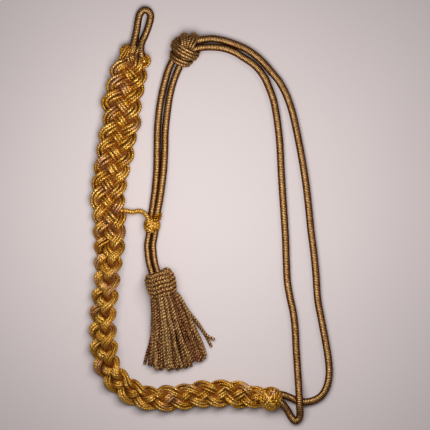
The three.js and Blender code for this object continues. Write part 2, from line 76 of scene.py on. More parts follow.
# Routes of the cords' middles, in millimetres
BUTTON_LOOP_ROUTE = MM * np.array([
    [-10.7, -27.9, 7], [-9.8, -23.3, 6.4], [-8.2, -17.1, 5], [-6.9, -11.2, 3.8],
    [-5.7, -5.6, 3.5], [-4.5, 1.9, 3.5], [-3.2, 7.9, 3.5], [-0.9, 11.6, 3.5], [1.9, 12.7, 3.5],
    [5.1, 11.6, 3.5], [7.1, 7.9, 3.5], [6.8, 3.7, 3.5], [5.4, -1.4, 3.5], [3.9, -6, 3.5],
    [1.4, -12.1, 3.8], [-0.9, -17.2, 5], [-1.9, -22.3, 6.8], [-1.6, -27, 8.4], [-0.5, -31.6, 8.8],
])
CORD_INNER_ROUTE = MM * np.array([
    [46.5, -24.2, 8], [49.9, -23.3, 7.8], [55.8, -22.1, 6.8], [63.9, -21.7, 4.9],
    [74.4, -22.7, 3.5], [85.2, -26.4, 3.5], [93, -31.2, 3.5], [101.4, -36.7, 3.5],
    [107.4, -42.3, 3.5], [113, -50.2, 3.5], [117.2, -59.5, 3.5], [120.9, -69.8, 3.5],
    [123.2, -80, 3.5], [125.6, -96.7, 3.5], [127.2, -112.5, 3.5], [128.3, -133.9, 3.5],
    [129.5, -154.4, 3.5], [131.1, -177.6, 3.5], [132.5, -200.9, 3.5], [133.2, -221.3, 3.5],
    [134.2, -239.9, 3.5], [136.7, -254.8, 3.5], [139.5, -267.8, 3.5], [141.3, -282.7, 3.5],
    [142.3, -301.3, 3.5], [143.4, -318.1, 3.5], [144.2, -331, 5], [144.7, -340, 8.8],
    [145.1, -349, 11], [145.5, -357, 9.4], [145.8, -362.8, 5.4], [144.5, -367.2, 3.7],
    [141.2, -368.6, 3.5], [138, -365.6, 3.6], [135.2, -360.6, 4.8], [132, -355.6, 7],
    [128.6, -352.2, 8.8], [124.6, -350.4, 9.4],
])
CORD_OUTER_ROUTE = MM * np.array([
    [46.5, -16.7, 8], [53.2, -15.3, 7.3], [63.9, -14.1, 4.9], [74.4, -15.6, 3.5],
    [85.2, -19, 3.5], [95.8, -23.7, 3.5], [105.6, -30.4, 3.5], [113, -37.4, 3.5],
    [119.5, -45.1, 3.5], [126, -53, 3.5], [131.4, -62.3, 3.5], [135.3, -71.6, 3.5],
    [138.6, -81.8, 3.5], [142.3, -97.7, 3.5], [145.5, -113.5, 3.5], [148.8, -132.1, 3.5],
    [151.6, -150.7, 3.5], [153.9, -171.1, 3.5], [156, -191.6, 3.5], [158.6, -212, 3.5],
    [160.7, -233.4, 3.5], [162.3, -255.8, 3.5], [166, -276.2, 3.5], [169.7, -295.7, 3.5],
    [172.3, -312.5, 3.5], [173, -323.6, 3.5], [172.1, -332, 3.5], [169.7, -339.5, 3.5],
    [165.1, -346, 3.5], [158.1, -349.9, 3.5], [150.7, -351.2, 3.5], [143.2, -350, 3.5],
    [136.7, -347.2, 3.6], [131.1, -344.9, 5], [125.4, -343.8, 6],
])
DROP_LEFT_ROUTE = MM * np.array([
    [31.6, -29.8, 6.5], [28.4, -33.5, 5.8], [25.4, -39, 4.5], [22.5, -46.5, 3.6],
    [20.5, -53.9, 3.5], [18.4, -62.3, 3.5], [16.7, -70.7, 3.5], [14.7, -84.6, 3.5],
    [13.6, -98.6, 3.5], [13.2, -117.2, 3.5], [12.8, -135.8, 3.5], [11.3, -154.4, 3.5],
    [9.9, -165.5, 3.5], [8.5, -174.8, 3.5], [7.7, -181.6, 3.8],
])
DROP_RIGHT_ROUTE = MM * np.array([
    [38.6, -33, 6.5], [35.2, -37.2, 5.8], [32.6, -42.8, 4.5], [29.9, -49.3, 3.6],
    [27.4, -56.7, 3.5], [25.7, -63.2, 3.5], [24.2, -70.7, 3.5], [22.3, -84.6, 3.5],
    [20.8, -98.6, 3.8], [20.3, -117.2, 4.7], [19.3, -135.8, 6.6], [17.3, -152.5, 8],
    [15.7, -163.7, 8.5], [13.9, -173, 9.1], [12.5, -181.6, 9.5],
])
TASSEL_LEFT_ROUTE = MM * np.array([
    [6.5, -189.9, 6.4], [5.4, -196.2, 5.2], [3.9, -205.5, 4.4], [4.5, -214.8, 4.8],
    [5.9, -223.2, 6.6], [7.9, -229.7, 9.4], [9.8, -235.3, 11.6],
])
TASSEL_RIGHT_ROUTE = MM * np.array([
    [12.3, -189.9, 6.4], [11.2, -196.2, 5.2], [9.7, -205.5, 4.4], [10.3, -214.8, 4.8],
    [11.7, -223.2, 6.6], [13.7, -229.7, 9.4], [15.7, -235.3, 11.6],
])
CONNECTOR_ROUTE = MM * np.array([
    [-22.3, -173.9, 7.5], [-16.1, -173.7, 7], [-9.6, -174.8, 5.4], [-3.7, -173.9, 4.6],
    [1, -175.6, 6], [4.3, -179.6, 8.9], [6.2, -185, 9.6],
])


# Camera

camera_data = bpy.data.cameras.new("camera")
camera_data.lens = camera_data.sensor_width * CAMERA_HEIGHT / (PHOTO_WIDTH * PIXEL)
camera_data.clip_end = 2 * CAMERA_HEIGHT
camera = bpy.data.objects.new("camera", camera_data)
camera.location = (
    (PHOTO_WIDTH / 2 - ORIGIN_PIXEL[0]) * PIXEL,
    (ORIGIN_PIXEL[1] - PHOTO_WIDTH / 2) * PIXEL,
    CAMERA_HEIGHT,
)
bpy.context.collection.objects.link(camera)
bpy.context.scene.camera = camera


# Shader maths


class Socket:
    """A shader socket that takes part in sums: each operator adds the Math node for it."""

    def __init__(self, finish, source):
        self.finish = finish
        self.source = source

    def maths(self, operation, *others):
        """One Math node on this socket and any others."""
        return self.finish.node("ShaderNodeMath", {"operation": operation}, [self, *others])

    def __add__(self, other):
        return self.maths("ADD", other)

    def __mul__(self, other):
        return self.maths("MULTIPLY", other)

    def __sub__(self, other):
        return self.maths("SUBTRACT", other)

    def __rsub__(self, other):
        return self.finish.node("ShaderNodeMath", {"operation": "SUBTRACT"}, [other, self])

    def __truediv__(self, other):
        return self.maths("DIVIDE", other)

    __radd__ = __add__
    __rmul__ = __mul__

    def wave(self):
        """A wave from 0 to 1 that repeats each whole number: (1 - cos(2 pi x)) / 2."""
        return 0.5 - 0.5 * (self * (2 * math.pi)).maths("COSINE")

    def between(self, low, high):
        """0 up to low and 1 from high on, eased between them."""
        sockets = {"Value": self, "From Min": low, "From Max": high}
        return self.finish.node("ShaderNodeMapRange", {"interpolation_type": "SMOOTHSTEP"}, sockets)


# Numbers of the Mix node's sockets for colours, whose names other sockets of it have too
MIX_SHARE, MIX_LOW, MIX_HIGH, MIX_RESULT = 0, 6, 7, 2


class Finish:
    """A material with one Principled shader, and a single way to add nodes to it."""

    def __init__(self, name, **uniform):
        self.material = bpy.data.materials.new(name)
        self.material.use_nodes = True
        self.tree = self.material.node_tree
        self.shader = self.tree.nodes["Principled BSDF"]
        for socket, value in uniform.items():
            self.shader.inputs[socket.replace("_", " ")].default_value = value

    def node(self, kind, settings, sockets, output=0):
        """Adds a node: settings first, then each socket's value or link."""
        made = self.tree.nodes.new(kind)
        for name, value in settings.items():
            setattr(made, name, value)
        pairs = sockets.items() if isinstance(sockets, dict) else enumerate(sockets)
        for name, value in pairs:
            self.feed(made.inputs[name], value)
        return Socket(self, made.outputs[output])

    def feed(self, target, value):
        """Gives a node's socket a link or a plain value."""
        if isinstance(value, Socket):
            self.tree.links.new(value.source, target)
        else:
            target.default_value = value

    def set(self, name, value):
        """Feeds one of the shader's own sockets."""
        self.feed(self.shader.inputs[name], value)

    def place(self):
        """Where a point lies in space, in metres."""
        return self.node("ShaderNodeTexCoord", {}, {}, "Object")

    def along_and_around(self):
        """The piece's own UV: how far along a cord, in metres, and how far round it, as a share."""
        uv = self.node("ShaderNodeTexCoord", {}, {}, "UV")
        along = self.node("ShaderNodeSeparateXYZ", {}, [uv], "Y")
        around = self.node("ShaderNodeSeparateXYZ", {}, [uv], "X")
        return along, around

    def noise(self, scale, detail, roughness=0.5):
        """Soft random patches in space, from 0 to 1, scale of them to a metre."""
        sockets = {"Vector": self.place(), "Scale": scale, "Detail": detail, "Roughness": roughness}
        return self.node("ShaderNodeTexNoise", {}, sockets)

    def tone_and_shade(self):
        """Each cord's own random tone, or painted shade, or a mix of the two, from 0 to 1."""
        return self.node("ShaderNodeAttribute", {"attribute_name": "tone_and_shade"}, {}, "Fac")

    def mix(self, share, low, high):
        """A colour between two others."""
        sockets = {MIX_SHARE: share, MIX_LOW: low, MIX_HIGH: high}
        return self.node("ShaderNodeMix", {"data_type": "RGBA"}, sockets, MIX_RESULT)

    def bump(self, height, distance):
        """Low relief: distance is how high it stands where height is 1."""
        self.set("Normal", self.node("ShaderNodeBump", {}, {"Height": height, "Distance": distance}))


def srgb(red, green, blue):
    """A colour given as 0 to 255 on a screen, made linear, with its alpha."""
    linear = (((np.array([red, green, blue]) / 255) + 0.055) / 1.055) ** 2.4
    return (*linear.tolist(), 1.0)


GOLD_EDGE = srgb(188, 150, 96)


def wound_cord_finish(name, lit_from):
    """Plain cord with fine metal wire wound round it: a pale gold painted highlight on top of each
    turn, with random worn specks, and dark brown gold painted shade down its sides and between the
    turns. Its second argument is how far up a cord's side the painted highlight begins, as a share."""
    finish = Finish(name, Specular_Tint=GOLD_EDGE, Metallic=0.85, Specular_IOR_Level=0.2)
    along, around = finish.along_and_around()
    # Painted shade between the wire's turns and down the cord's sides, painted highlight on its top
    turns = (along / WIRE_PITCH - around + 0.5).wave()
    lit_top = (around + 0.25).wave().between(lit_from, 1.0)
    cloud = finish.noise(120.0, 3.0)
    speck = finish.noise(700.0, 2.0).between(0.3, 0.7)
    lit_and_worn = lit_top * (0.3 + 0.7 * turns) * (0.45 + 0.4 * cloud + 0.5 * speck)
    gold = finish.mix(lit_and_worn.between(0.35, 1.05), srgb(120, 70, 8), srgb(216, 180, 124))
    base = finish.mix((0.12 * turns + lit_and_worn).between(0.03, 0.66), srgb(92, 44, 0), gold)
    finish.set("Base Color", base)
    finish.set("Roughness", 0.5 - 0.12 * speck)
    finish.bump(speck, 0.1 * MM)
    return finish.material


def bright_cord_finish():
    """Thin cord laid up from bright metal thread: a pale yellow painted highlight on its plies,
    amber and deep brown painted shade between them, darker still where a cord's tone and shade is low.
    """
    finish = Finish("bright_cord", Specular_Tint=GOLD_EDGE, Metallic=0.85, Specular_IOR_Level=0.2)
    along, around = finish.along_and_around()
    plies = (along / PLY_PITCH + 2 * around).wave()
    thread = (along / THREAD_PITCH - 3 * around).wave()
    patch = finish.noise(60.0, 2.0).between(0.34, 0.48)
    speck = finish.noise(800.0, 2.0).between(0.32, 0.68)
    # Painted light and shade: lower between plies and threads and where a cord's tone and shade is low;
    # the pale colour at the top of the range is a painted highlight
    shade = (0.5 * plies + 0.2 * thread + 0.3) * (0.3 + 0.7 * speck) + 0.6 * finish.tone_and_shade() - 0.25
    deep = finish.mix(patch, srgb(108, 48, 8), srgb(122, 58, 2))
    amber = finish.mix(patch, srgb(186, 130, 66), srgb(200, 140, 30))
    pale = finish.mix(patch, srgb(240, 196, 152), srgb(250, 208, 118))
    gold = finish.mix(shade.between(0.0, 0.5), deep, amber)
    finish.set("Base Color", finish.mix(shade.between(0.42, 0.96), gold, pale))
    finish.set("Roughness", 0.46 - 0.18 * speck)
    finish.bump(plies + 0.4 * thread, 0.3 * MM)
    return finish.material


def tassel_finish():
    """Twisted metal thread gone dull, with random pale gold flecks: painted shade, brown, in its
    grooves and down its sides, and a painted highlight on its top.
    """
    finish = Finish("tassel_thread", Specular_Tint=GOLD_EDGE, Metallic=0.7, Specular_IOR_Level=0.2)
    along, around = finish.along_and_around()
    # Painted shade in the grooves between plies and down the strand's sides, painted highlight on top
    plies = (2 * around - along / STRAND_PLY - finish.tone_and_shade() + 0.5).wave()
    lit_top = (around + 0.25).wave().between(0.25, 0.85)
    fleck = finish.noise(800.0, 3.0, 0.7).between(0.42, 0.62)
    lit_and_worn = (0.25 + 0.75 * plies) * (0.2 + 0.8 * fleck) * (0.2 + 0.8 * lit_top)
    shade = lit_and_worn + 0.2 * finish.tone_and_shade() - 0.07
    bright = finish.mix(finish.tone_and_shade(), srgb(212, 146, 98), srgb(232, 190, 124))
    finish.set("Base Color", finish.mix(shade.between(0.0, 0.95), srgb(66, 26, 2), bright))
    finish.set("Roughness", 0.6 - 0.15 * fleck)
    finish.bump(plies + 0.5 * fleck, 0.25 * MM)
    return finish.material


def woven_head_finish():
    """The tassel's winding, in painted shade: darker the less each slanting bead stands out, which
    its tone and shade holds, broken by random flecks."""
    finish = Finish("woven_head", Specular_Tint=GOLD_EDGE, Metallic=0.7, Specular_IOR_Level=0.2)
    fleck = finish.noise(750.0, 3.0, 0.7).between(0.42, 0.62)
    shade = finish.tone_and_shade() * (0.25 + 0.75 * fleck)
    finish.set("Base Color", finish.mix(shade.between(0.02, 0.7), srgb(60, 22, 0), srgb(232, 178, 112)))
    finish.set("Roughness", 0.6 - 0.18 * fleck)
    finish.bump(fleck, 0.2 * MM)
    return finish.material


def shadowed_core_finish(name, dark, light):
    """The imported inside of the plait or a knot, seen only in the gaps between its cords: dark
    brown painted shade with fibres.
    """
    finish = Finish(name, Metallic=0.3, Specular_IOR_Level=0.2)
    fibres = finish.noise(650.0, 3.0)
    finish.set("Base Color", finish.mix(fibres, dark, light))
    finish.set("Roughness", 0.75 - 0.2 * fibres)
    finish.bump(fibres, 0.6 * MM)
    return finish.material


def floor_finish():
    """Plain pale surface."""
    finish = Finish("pale_floor", Roughness=0.9)
    cloud = finish.noise(3.0, 2.0)
    finish.set("Base Color", finish.mix(cloud, srgb(206, 196, 198), srgb(220, 210, 210)))
    return finish.material


WOUND_CORD = wound_cord_finish("wound_cord", 0.7)
KNOT_CORD = wound_cord_finish("knot_cord", 0.1)
BRIGHT_CORD = bright_cord_finish()
TASSEL_THREAD = tassel_finish()
WOVEN_HEAD = woven_head_finish()
# Dark browns that are painted shade in the gaps of the plait and the slide knot
PLAIT_INSIDE = shadowed_core_finish("plait_inside", srgb(78, 34, 4), srgb(150, 84, 22))
KNOT_INSIDE = shadowed_core_finish("knot_inside", srgb(58, 28, 6), srgb(112, 68, 26))


# Shapes


def unit(vectors):
    """Each vector divided by its length."""
    return vectors / np.linalg.norm(vectors, axis=-1, keepdims=True)


def smooth_route(points):
    """A smooth curve through points: each span is a cubic whose ends' slopes come from the
    spots before and after it, weighed by the square root of their distances."""
    ends = np.vstack([2 * points[0] - points[1], points, 2 * points[-1] - points[-2]])
    a, b, c, d = ends[:-3], ends[1:-2], ends[2:-1], ends[3:]
    before, span, after = (
        np.linalg.norm(there - here, axis=1, keepdims=True) ** 0.5
        for here, there in ((a, b), (b, c), (c, d))
    )
    slope_in = ((b - a) / before - (c - a) / (before + span) + (c - b) / span) * span
    slope_out = ((c - b) / span - (d - b) / (span + after) + (d - c) / after) * span
    t = np.arange(SPAN_SPOTS)[None, :, None] / SPAN_SPOTS
    b, c, slope_in, slope_out = (v[:, None, :] for v in (b, c, slope_in, slope_out))
    curve = (
        b + slope_in * t
        + (3 * (c - b) - 2 * slope_in - slope_out) * t**2
        + (2 * (b - c) + slope_in + slope_out) * t**3
    )
    return np.vstack([curve.reshape(-1, 3), points[-1:]])


def round_turn(count):
    """Angles an even step apart, once round."""
    return 2 * np.pi * np.arange(count) / count


def lengths_along(spots):
    """How far each spot lies along a line through them all."""
    return np.concatenate([[0.0], np.cumsum(np.linalg.norm(np.diff(spots, axis=0), axis=1))])


def look_up(table, places, wanted):
    """Each column of a table of vectors, straight between its places."""
    return np.stack([np.interp(wanted, places, column) for column in table.T], axis=-1)


def evenly(spots, step):
    """The same line with spots an even step apart."""
    along = lengths_along(spots)
    count = max(3, int(round(along[-1] / step)) + 1)
    return look_up(spots, along, np.linspace(0, along[-1], count))


def tube_rings(spots, radius, sides, level=UP, loop=False, plies=0, lay=1.0, ply_depth=0.0,
               first=0.0):
    """Rings round a line: spot + r (cos a across + sin a out), with across level and out square
    to both. A laid-up cord's r swells by ply_depth cos(plies (a - 2 pi length / lay) - 2 pi t),
    where t is its own random tone. first is the share of a turn that a ring's first corner lies at."""
    tone_and_shade = RANDOM.random()
    if loop:
        ahead = unit(np.roll(spots, -1, axis=0) - np.roll(spots, 1, axis=0))
    else:
        ahead = unit(np.gradient(spots, axis=0))
    across = unit(np.cross(level, ahead))
    out = np.cross(ahead, across)
    angle = round_turn(sides)
    along = lengths_along(spots)
    radius = np.broadcast_to(np.asarray(radius, float), len(spots))[:, None]
    turn = plies * (angle[None, :] - 2 * np.pi * along[:, None] / lay) - 2 * np.pi * tone_and_shade * (plies > 1)
    swell = 1 + ply_depth * np.cos(turn)
    reach = (radius * swell)[..., None]
    rings = spots[:, None] + reach * (
        np.cos(angle)[None, :, None] * across[:, None] + np.sin(angle)[None, :, None] * out[:, None]
    )
    return {"rings": rings, "along": along, "loop": loop, "tone_and_shade": tone_and_shade, "first": first}


def grown(name, skins, material, replaces):
    """One piece from any number of skins of rings. Quads join ring to ring, and a skin that
    doesn't loop is closed by its two end rings. UV: round a ring as a share, and the length."""
    verts, corners, starts, totals, uvs, tones_and_shades = [], [], [], [], [], []
    first_vert = first_corner = 0
    for part in skins:
        rings, along, loop = part["rings"], part["along"], part["loop"]
        count, sides = rings.shape[:2]
        spans = count if loop else count - 1
        i = np.arange(spans)[:, None]
        j = np.arange(sides)[None, :]
        low, high = i * sides, ((i + 1) % count) * sides
        right = (j + 1) % sides
        quads = np.stack(np.broadcast_arrays(low + j, low + right, high + right, high + j), axis=-1)
        first = part.get("first", 0.0)
        share = np.stack(np.broadcast_arrays(j, j + 1, j + 1, j), -1) / sides + first
        share = np.broadcast_to(share, quads.shape)
        near = np.broadcast_to(along[:spans, None], (spans, sides))
        far = near + (along[1] - along[0])
        length = np.stack([near, near, far, far], axis=-1)
        verts.append(rings.reshape(-1, 3))
        tones_and_shades.append(np.broadcast_to(part["tone_and_shade"], (count, sides)).ravel())
        corners.append(quads.reshape(-1) + first_vert)
        uvs.append(np.stack([share, length], axis=-1).reshape(-1, 2))
        starts.append(first_corner + 4 * np.arange(spans * sides))
        totals.append(np.full(spans * sides, 4))
        first_corner += 4 * spans * sides
        if not loop:
            for ring, turn in ((0, -1), (count - 1, 1)):
                rim = ring * sides + np.arange(sides)[::turn]
                corners.append(rim + first_vert)
                uvs.append(np.column_stack([(rim % sides) / sides + first, np.full(sides, along[ring])]))
                starts.append(np.array([first_corner]))
                totals.append(np.array([sides]))
                first_corner += sides
        first_vert += count * sides
    mesh = bpy.data.meshes.new(name)
    mesh.vertices.add(first_vert)
    mesh.vertices.foreach_set("co", np.concatenate(verts).astype(np.float32).ravel())
    mesh.loops.add(first_corner)
    mesh.loops.foreach_set("vertex_index", np.concatenate(corners).astype(np.int32))
    starts = np.concatenate(starts)
    mesh.polygons.add(len(starts))
    mesh.polygons.foreach_set("loop_start", starts.astype(np.int32))
    mesh.polygons.foreach_set("loop_total", np.concatenate(totals).astype(np.int32))
    mesh.update(calc_edges=True)
    mesh.uv_layers.new(name="UVMap")
    mesh.uv_layers[0].data.foreach_set("uv", np.concatenate(uvs).astype(np.float32).ravel())
    shade = mesh.attributes.new("tone_and_shade", "FLOAT", "POINT")
    shade.data.foreach_set("value", np.concatenate(tones_and_shades).astype(np.float32))
    mesh.polygons.foreach_set("use_smooth", np.full(len(starts), True))
    mesh.materials.append(material)
    piece = bpy.data.objects.new(name, mesh)
    bpy.context.collection.objects.link(piece)
    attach(piece, "root")
    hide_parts(*replaces)
    return piece


def oval_turn(centre, width, height, turn, radius, shift=0.0, lean=0.0):
    """A closed turn of cord that stands upright: width (cos t) / 2 along the level direction at
    turn degrees from +X, height (sin t) / 2 up, each less the cord's own, and shift + lean sin t
    square to both."""
    angle = math.radians(turn)
    level = np.array([math.cos(angle), math.sin(angle), 0.0])
    square = np.array([-math.sin(angle), math.cos(angle), 0.0])
    t = round_turn(TURN_SPOTS)
    spots = (
        np.asarray(centre)
        + np.outer((width / 2 - radius) * np.cos(t), level)
        + np.outer((height / 2 - radius) * np.sin(t), UP)
        + np.outer(shift + lean * np.sin(t), square)
    )
    return tube_rings(spots, radius, KNOT_CORD_SIDES, level=square, loop=True, first=0.25)


def lump(centre, width, length, height, turn, rings=18, sides=24):
    """A rounded lump: an ellipsoid with its own width, length and height, turned about +Z. Its
    first and last rings lie a hair from its poles."""
    pole_gap = 0.02
    down = np.linspace(pole_gap, np.pi - pole_gap, rings)[:, None]
    round_it = round_turn(sides)[None, :]
    x = 0.5 * width * np.sin(down) * np.cos(round_it)
    y = -0.5 * length * np.sin(down) * np.sin(round_it)
    z = 0.5 * height * np.cos(down) * np.ones_like(round_it)
    angle = math.radians(turn)
    spots = np.stack([
        x * math.cos(angle) - y * math.sin(angle),
        x * math.sin(angle) + y * math.cos(angle),
        z,
    ], axis=-1) + np.asarray(centre)
    return {"rings": spots, "along": np.linspace(0, height, rings), "loop": False, "tone_and_shade": 0.3}


# Plain cords


def plain_cord(name, route, diameter, material):
    """A wire-wound cord along its route, with a fine rib where each turn of the wire lies, and
    four rings to a turn. The ribs stand out to the cord's diameter."""
    spots = evenly(smooth_route(route), WIRE_PITCH / 4)
    skin = tube_rings(spots, (1 - RIB) * diameter / 2, PLAIN_CORD_SIDES, plies=1, lay=WIRE_PITCH,
                      ply_depth=RIB)
    piece = grown("wound_" + name, [skin], material, [name])


for cord_name, cord_route, cord_diameter in (
    ("button_loop", BUTTON_LOOP_ROUTE, CORD_DIAMETER),
    ("cord_inner", CORD_INNER_ROUTE, CORD_DIAMETER),
    ("cord_outer", CORD_OUTER_ROUTE, CORD_DIAMETER),
    ("drop_cord_left", DROP_LEFT_ROUTE, CORD_DIAMETER),
    ("drop_cord_right", DROP_RIGHT_ROUTE, CORD_DIAMETER),
    ("tassel_cord_left", TASSEL_LEFT_ROUTE, TASSEL_CORD_DIAMETER),
    ("tassel_cord_right", TASSEL_RIGHT_ROUTE, TASSEL_CORD_DIAMETER),
):
    plain_cord(cord_name, cord_route, cord_diameter, WOUND_CORD)
plain_cord("connector_cord", CONNECTOR_ROUTE, CONNECTOR_DIAMETER, BRIGHT_CORD)


# Plait

PLAIT_ROUTE = MM * np.array([
    [-9.3, -20.5, 0], [-10.7, -26, 0], [-11.2, -33.5, 0], [-12.7, -44.6, 0], [-17.2, -67, 0],
    [-20.5, -89.3, 0], [-23.9, -111.6, 0], [-28.4, -132.1, 0], [-30.9, -148.8, 0],
    [-31.8, -163.7, 0], [-30.7, -174.8, 0], [-29.8, -191.6, 0], [-30.4, -208.3, 0],
    [-32.6, -226.9, 0], [-34.8, -249.2, 0], [-36.8, -271.6, 0], [-37, -286.4, 0],
    [-36, -305, 0], [-32.6, -317.1, 0], [-26, -328.3, 0], [-15.8, -338.5, 0],
    [-2.8, -344.6, 0], [11.2, -347.8, 0], [26, -347.4, 0], [40, -346, 0], [55.8, -344.1, 0],
    [71.6, -343, 0], [90.2, -344.4, 0], [110.7, -346.9, 0],
])
PLAIT_WIDTH = 37 * MM
PLAIT_THICKNESS = 15 * MM
# How much lower than half its thickness the plait's middle lies on the surface
PLAIT_PRESS = 0.9 * MM
# The lobes of the plait's edges: how long one is at each end, and where the first one lies
TOP_LOBE_PITCH = 14.6 * MM
END_LOBE_PITCH = 16.8 * MM
FIRST_LOBE = 11.5 * MM
# Along, as a share; width and thickness, as shares; roll, in degrees
PLAIT_SECTIONS = np.array([
    [0, 0.3, 0.7, 0], [0.014, 0.45, 0.9, 0], [0.03, 0.62, 1, 0], [0.046, 0.95, 1, 0],
    [0.06, 1.02, 1, 0], [0.15, 1, 1, 0], [0.25, 0.955, 1, 0], [0.33, 0.9, 1, 8],
    [0.39, 0.86, 1.06, 22], [0.44, 0.82, 1.13, 38], [0.48, 0.81, 1.2, 48], [0.55, 0.79, 1.22, 50],
    [0.62, 0.83, 1.2, 46], [0.68, 0.72, 1.12, 34], [0.73, 0.67, 1.08, 20], [0.78, 0.6, 1.05, 8],
    [0.845, 0.66, 1.02, 0], [0.88, 0.745, 1.02, 0], [0.95, 0.7, 1, 0], [1, 0.5, 1, 0],
])
# The bundles' thin cords, and how far each lies to the side and up, in its own thicknesses
BUNDLES = 4
BUNDLE_CORD = 3.1 * MM
BUNDLE_CORD_SIDES = 8
BUNDLE_SPOTS = 1100
BUNDLE_LAYOUT = ((-0.98, 0.4), (0.0, 0.72), (0.98, 0.4), (-0.98, -0.4), (0.0, -0.72), (0.98, -0.4))
# Places along the plait, as shares, and how narrow its bundles are pressed there
BUNDLE_PRESS = ((0.34, 0.46, 0.68, 0.8), (1, 0.82, 0.82, 0.95))
# The plait's packed middle: where it starts and ends along it, and its half width and half
# thickness, all as shares of the plait's
CORE_SPAN = (0.03, 0.995)
CORE_HALF_WIDTH = 0.34
CORE_HALF_THICKNESS = 0.09
CORE_SPOTS = 260
CORE_SIDES = 16
# Beside the button loop a bundle turns back over a dome: the dome's height and reach, and how far
# out its arcs lie, all in millimetres
DOME_HEIGHT = 11
DOME_REACH = 8
DOME_ARCS = (0.9, 3.2, 5.4)
# Each dome's place in millimetres, and the angles that its arcs run from and to
LEFT_DOME = ((-14.6, -26), -40, 215)
RIGHT_DOME = ((0.6, -34.5), -130, 120)

plait_line = smooth_route(PLAIT_ROUTE)
plait_along = lengths_along(plait_line)
plait_length = plait_along[-1]
plait_across = unit(np.cross(UP, unit(np.gradient(plait_line, axis=0))))


def eased(rows, along, column):
    """A column between two rows, by 3 t t - 2 t t t of the way from one to the next."""
    following = np.clip(np.searchsorted(rows[:, 0], along), 1, len(rows) - 1)
    low, high = rows[following - 1], rows[following]
    t = np.clip((along - low[:, 0]) / (high[:, 0] - low[:, 0]), 0, 1)
    t = t * t * (3 - 2 * t)
    return low[:, column] * (1 - t) + high[:, column] * t


def laid_in_plait(length, sideways, up):
    """Places inside the plait, in space: on its route at length, moved sideways and up, all
    rolled by the plait's roll there, with its lowest edge pressed onto the surface."""
    share = length / plait_length
    width = PLAIT_WIDTH * eased(PLAIT_SECTIONS, share, 1)
    thickness = PLAIT_THICKNESS * eased(PLAIT_SECTIONS, share, 2)
    roll = np.radians(eased(PLAIT_SECTIONS, share, 3))
    half_height = np.hypot(width / 2 * np.sin(roll), thickness / 2 * np.cos(roll))
    spot = look_up(plait_line, plait_along, length)
    across = unit(look_up(plait_across, plait_along, length))
    spot = spot + (sideways * np.cos(roll) - up * np.sin(roll))[:, None] * across
    spot[:, 2] = half_height - PLAIT_PRESS + sideways * np.sin(roll) + up * np.cos(roll)
    return spot


def plait_bundle(bundle):
    """One bundle's thin cords. With lobes counted along the plait and phase a quarter turn for
    each, the bundle swings by sin phase - 0.06 sin 3 phase, a little unevenly, and rises by
    -0.207 cos phase + 1.007 cos 3 phase + 0.2 cos 5 phase, so it goes over, under and over. Its
    cords are thinner where the plait is narrow or pressed, and each wanders by its own slack."""
    length = np.linspace(0, plait_length, BUNDLE_SPOTS)
    share = length / plait_length
    growth = END_LOBE_PITCH / TOP_LOBE_PITCH - 1
    lobes = plait_length / TOP_LOBE_PITCH / growth * np.log(1 + growth * share)
    phase = np.pi / 2 * (lobes - FIRST_LOBE / TOP_LOBE_PITCH + bundle)
    width = PLAIT_WIDTH * eased(PLAIT_SECTIONS, share, 1)
    thickness = PLAIT_THICKNESS * eased(PLAIT_SECTIONS, share, 2)
    fit = (0.35 + 0.65 * width / PLAIT_WIDTH) * np.interp(share, *BUNDLE_PRESS)
    bundle_width = 3 * BUNDLE_CORD * fit
    # Half waves of unevenness along the plait, and where its two kinds start
    uneven, start, also = RANDOM.uniform([9, 0, 0], [15, 2 * np.pi, 2 * np.pi])
    swing = (np.sin(phase) - 0.06 * np.sin(3 * phase)) / 1.06
    swing = swing * (0.965 + 0.07 * np.sin(uneven * np.pi * share + start))
    swing = swing + 0.06 * np.sin(1.7 * uneven * np.pi * share + also)
    sideways = np.maximum(width - bundle_width, 0) / 2 * swing
    waves = -0.207 * np.cos(phase) + 1.007 * np.cos(3 * phase) + 0.2 * np.cos(5 * phase)
    rise = thickness / 4 * waves
    heading = unit(np.column_stack([np.gradient(length), np.gradient(sideways)]))
    skins = []
    for side, lift in BUNDLE_LAYOUT:
        # Half waves of this cord's slack, where they start, and their depth in millimetres
        beat, start, depth = RANDOM.uniform([16, 0, 0.3], [44, 2 * np.pi, 0.9])
        slack = depth * MM * np.sin(beat * np.pi * share + start)
        offset = side * BUNDLE_CORD * fit + slack
        place = np.clip(length - offset * heading[:, 1], 0, plait_length)
        up = rise + lift * BUNDLE_CORD
        spots = laid_in_plait(place, sideways + offset * heading[:, 0], up + slack)
        radius = BUNDLE_CORD / 2 * (0.15 + 0.85 * fit)
        spots[:, 2] = np.maximum(spots[:, 2], radius)
        skin = tube_rings(spots, radius, BUNDLE_CORD_SIDES)
        # Painted shade: cords that lie lower in the plait, under the bundles that cross them, are
        # darker; each cord's tone and shade is half this and half its own random tone
        depth_shade = np.clip(0.4 + 1.4 * up / thickness, 0, 1)
        skins.append(skin | {"tone_and_shade": 0.5 * skin["tone_and_shade"] + 0.5 * depth_shade[:, None]})
    return skins


def plait_core():
    """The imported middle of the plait: a flattened tube whose cross sections are ellipses, half
    width cos a to the side and half thickness sin a up."""
    length = np.linspace(*CORE_SPAN, CORE_SPOTS) * plait_length
    share = length / plait_length
    half_width = CORE_HALF_WIDTH * PLAIT_WIDTH * eased(PLAIT_SECTIONS, share, 1)
    half_thick = CORE_HALF_THICKNESS * PLAIT_THICKNESS * eased(PLAIT_SECTIONS, share, 2)
    rings = np.stack([
        laid_in_plait(length, half_width * math.cos(a), half_thick * math.sin(a))
        for a in round_turn(CORE_SIDES)
    ], axis=1)
    return {"rings": rings, "along": length, "loop": False, "tone_and_shade": 0.2}


